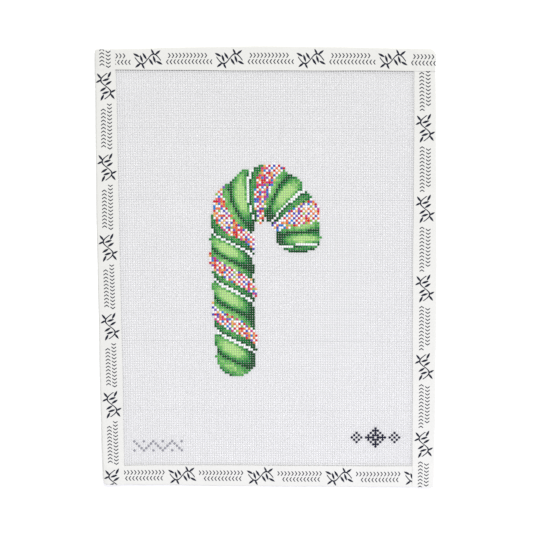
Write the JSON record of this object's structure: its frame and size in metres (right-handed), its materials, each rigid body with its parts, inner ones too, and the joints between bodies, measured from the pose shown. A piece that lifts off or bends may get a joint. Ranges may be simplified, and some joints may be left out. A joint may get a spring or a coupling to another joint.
{
  "type": "needlepoint canvas",
  "caption": "Stiff open-mesh cotton canvas, bound with folded tape and painted with a striped candy cane, ready to be stitched.",
  "frame": {"origin": "under the middle of the canvas, on the surface that it lies on", "axes": "+X to the right across the painted face, +Y up it towards the cane's hook, +Z out of the painted face"},
  "size_m": [0.1996, 0.2614, 0.0048],
  "materials": {
    "canvas": "sized white cotton mesh, matt",
    "tape": "ivory woven cotton tape, matt",
    "green_paint": "canvas threads painted in greens, satin",
    "dotted_paint": "canvas threads painted in dots of many colours, satin"
  },
  "bodies": {
    "root": {"canvas": "canvas", "tape_left": "tape", "tape_top": "tape", "tape_right": "tape", "tape_bottom": "tape", "cane_foot": "green_paint", "cane_dots_1": "dotted_paint", "cane_strand_1": "green_paint", "cane_dots_2": "dotted_paint", "cane_strand_2": "green_paint", "cane_dots_3": "dotted_paint", "cane_strand_3": "green_paint", "cane_dots_4": "dotted_paint", "cane_strand_4": "green_paint", "cane_dots_5": "dotted_paint", "cane_tip": "green_paint"}
  },
  "joints": []
}
